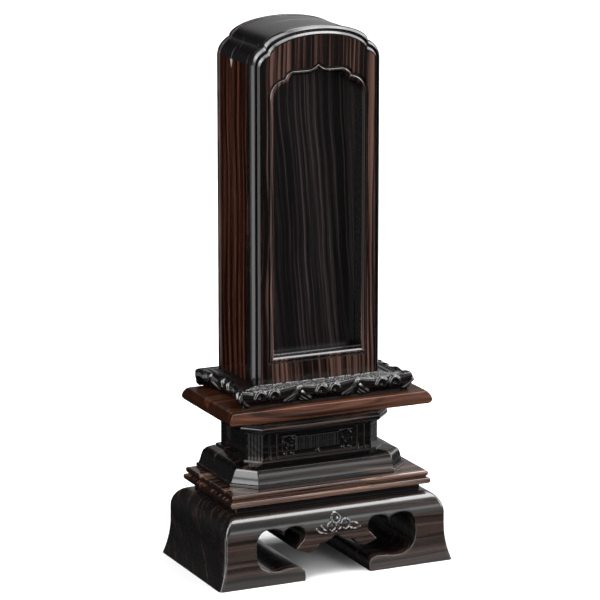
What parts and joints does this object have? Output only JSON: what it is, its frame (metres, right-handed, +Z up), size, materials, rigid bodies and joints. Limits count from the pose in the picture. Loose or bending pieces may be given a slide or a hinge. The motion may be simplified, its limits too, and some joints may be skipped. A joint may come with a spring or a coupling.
{
  "type": "memorial tablet box",
  "caption": "Arched windowed wooden box for a stack of thin name slips, on a tiered pedestal with a scroll-cut stand; its front cover lifts off upwards.",
  "frame": {"origin": "middle of the stand's footprint, at the level of the surface that it stands on", "axes": "+Z up; the windowed front faces -Y; +X is to the right of a viewer who faces the front"},
  "size_m": [0.0882, 0.051, 0.1874],
  "materials": {
    "dark_wood": "gloss lacquer over near-black striped ebony",
    "brown_wood": "gloss lacquer over brown striped ebony",
    "striped_wood": "gloss lacquer over streaked brown and black ebony",
    "slip_wood": "satin black stain",
    "plain_wood": "bare planed wood, hidden inside"
  },
  "bodies": {
    "pedestal_and_shell": {"stand": "dark_wood", "neck_board": "dark_wood", "lower_plate": "brown_wood", "slope_block": "dark_wood", "waist_core": "dark_wood", "pilaster_front_left": "dark_wood", "pilaster_front_right": "dark_wood", "post_rear_left": "dark_wood", "post_rear_right": "dark_wood", "waist_panel_left": "dark_wood", "waist_panel_right": "dark_wood", "waist_panel_front": "dark_wood", "waist_plaque": "dark_wood", "waist_panel_back": "dark_wood", "crown_moulding": "dark_wood", "upper_plate": "brown_wood", "petal_tray": "dark_wood", "tier_dowel_left": "plain_wood", "tier_dowel_right": "plain_wood", "box_dowel_left": "plain_wood", "box_dowel_right": "plain_wood", "box_floor": "plain_wood", "shell_back_board": "striped_wood", "shell_side_left": "striped_wood", "shell_side_right": "striped_wood", "shell_roof": "dark_wood"},
    "front_cover": {"cover_face": "striped_wood", "cover_rim_left": "striped_wood", "cover_rim_right": "striped_wood", "cover_rim_arch": "striped_wood", "cover_side_left": "striped_wood", "cover_side_right": "striped_wood", "cover_roof": "dark_wood"},
    "slip_1": {"slip_1": "slip_wood"},
    "slip_2": {"slip_2": "slip_wood"},
    "slip_3": {"slip_3": "slip_wood"},
    "slip_4": {"slip_4": "slip_wood"},
    "slip_5": {"slip_5": "slip_wood"},
    "slip_6": {"slip_6": "slip_wood"},
    "slip_7": {"slip_7": "slip_wood"},
    "slip_8": {"slip_8": "slip_wood"}
  },
  "joints": [
    {"name": "front_cover_lift", "type": "slide", "parent": "pedestal_and_shell", "child": "front_cover", "axis": [0, 0, 1], "range_m": [0, 0.1]},
    {"name": "slip_1_lift", "type": "slide", "parent": "pedestal_and_shell", "child": "slip_1", "axis": [0, 0, 1], "range_m": [0, 0.003]},
    {"name": "slip_2_lift", "type": "slide", "parent": "pedestal_and_shell", "child": "slip_2", "axis": [0, 0, 1], "range_m": [0, 0.003]},
    {"name": "slip_3_lift", "type": "slide", "parent": "pedestal_and_shell", "child": "slip_3", "axis": [0, 0, 1], "range_m": [0, 0.003]},
    {"name": "slip_4_lift", "type": "slide", "parent": "pedestal_and_shell", "child": "slip_4", "axis": [0, 0, 1], "range_m": [0, 0.003]},
    {"name": "slip_5_lift", "type": "slide", "parent": "pedestal_and_shell", "child": "slip_5", "axis": [0, 0, 1], "range_m": [0, 0.003]},
    {"name": "slip_6_lift", "type": "slide", "parent": "pedestal_and_shell", "child": "slip_6", "axis": [0, 0, 1], "range_m": [0, 0.003]},
    {"name": "slip_7_lift", "type": "slide", "parent": "pedestal_and_shell", "child": "slip_7", "axis": [0, 0, 1], "range_m": [0, 0.003]},
    {"name": "slip_8_lift", "type": "slide", "parent": "pedestal_and_shell", "child": "slip_8", "axis": [0, 0, 1], "range_m": [0, 0.003]}
  ]
}
